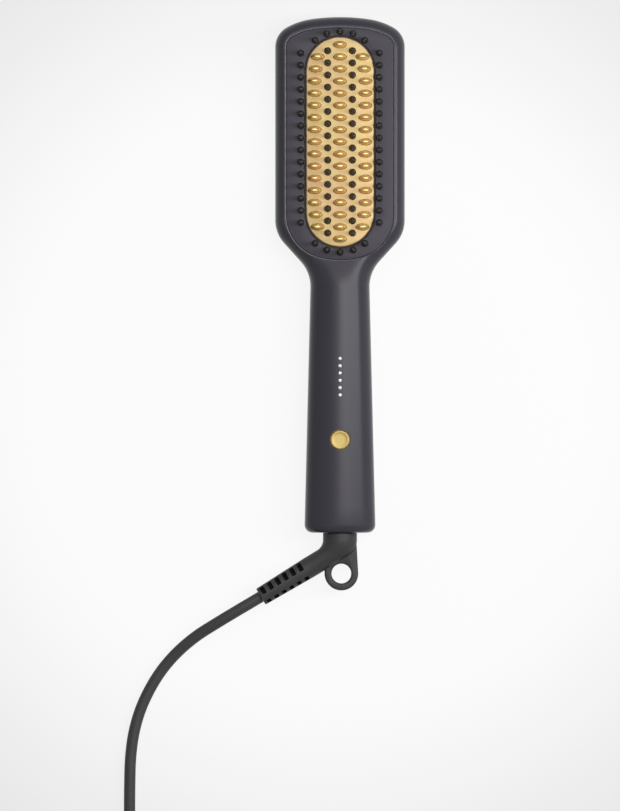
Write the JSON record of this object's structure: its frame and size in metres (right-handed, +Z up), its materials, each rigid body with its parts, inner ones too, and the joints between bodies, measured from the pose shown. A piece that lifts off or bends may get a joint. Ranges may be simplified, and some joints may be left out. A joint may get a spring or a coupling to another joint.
{
  "type": "hair straightening brush",
  "caption": "Electric hair straightening brush with a heated comb plate between stiff bristles, a round power button, a row of lights and a cord on a swivel.",
  "frame": {"origin": "middle of the brush body from head to handle end, on the surface that it lies on; the body is the brush without its cord guard and cord", "axes": "+Y towards the top of the head, +Z up from the back towards the bristles, +X to the right when the bristles face the viewer"},
  "size_m": [0.1679, 0.5213, 0.0328],
  "materials": {
    "shell": "satin",
    "panel": "satin",
    "silicone": "matte",
    "gold_plate": "satin, gold coated",
    "nylon": "matte",
    "heater_ceramic": "matte",
    "mica": "satin",
    "steel": "brushed",
    "shield_fibre": "woven, matte",
    "lead_red": "satin",
    "lead_blue": "satin",
    "board": "satin",
    "capacitor": "gloss",
    "component": "matte",
    "lens": "frosted",
    "acetal": "satin",
    "brass": "satin",
    "guard": "satin",
    "cord": "satin",
    "gold_button": "satin, gold coated",
    "plug": "satin",
    "plated": "polished"
  },
  "bodies": {
    "housing": {"rear_shell": "shell", "front_shell": "shell", "bristle_panel": "panel", "plate_seal": "silicone", "heater_plate": "gold_plate", "pin_carrier": "nylon", "heater_strip": "heater_ceramic", "mica_sheet": "mica", "heater_bracket": "steel", "bracket_screws": "steel", "thermal_fuse": "steel", "thermistor": "component", "heat_shield": "shield_fibre", "heater_leads": "lead_red", "control_board": "board", "film_capacitor": "capacitor", "power_triac": "component", "controller_chip": "component", "status_leds": "lens", "light_guide": "lens", "tact_switch": "component", "board_screws": "steel", "head_screws": "steel", "handle_screw": "steel", "swivel_bush": "acetal", "contact_block": "component", "contact_leaves": "brass", "mains_leads": "lead_blue", "cord_free": "cord", "cord_coil": "cord", "cord_tail": "cord", "plug_body": "plug", "plug_pins": "plated"},
    "swivel": {"swivel_elbow": "guard", "swivel_barrel": "nylon", "slip_rings": "brass"},
    "button": {"power_button": "gold_button", "switch_plunger": "acetal"}
  },
  "joints": [
    {"name": "cord_swivel", "type": "hinge", "parent": "housing", "child": "swivel", "pos_m": [0, -0.129, 0.014], "axis": [0, 1, 0], "continuous": true},
    {"name": "power_press", "type": "slide", "parent": "housing", "child": "button", "axis": [0, 0, -1], "range_m": [0, 0.0006], "stiffness_N_per_m": 1500}
  ]
}
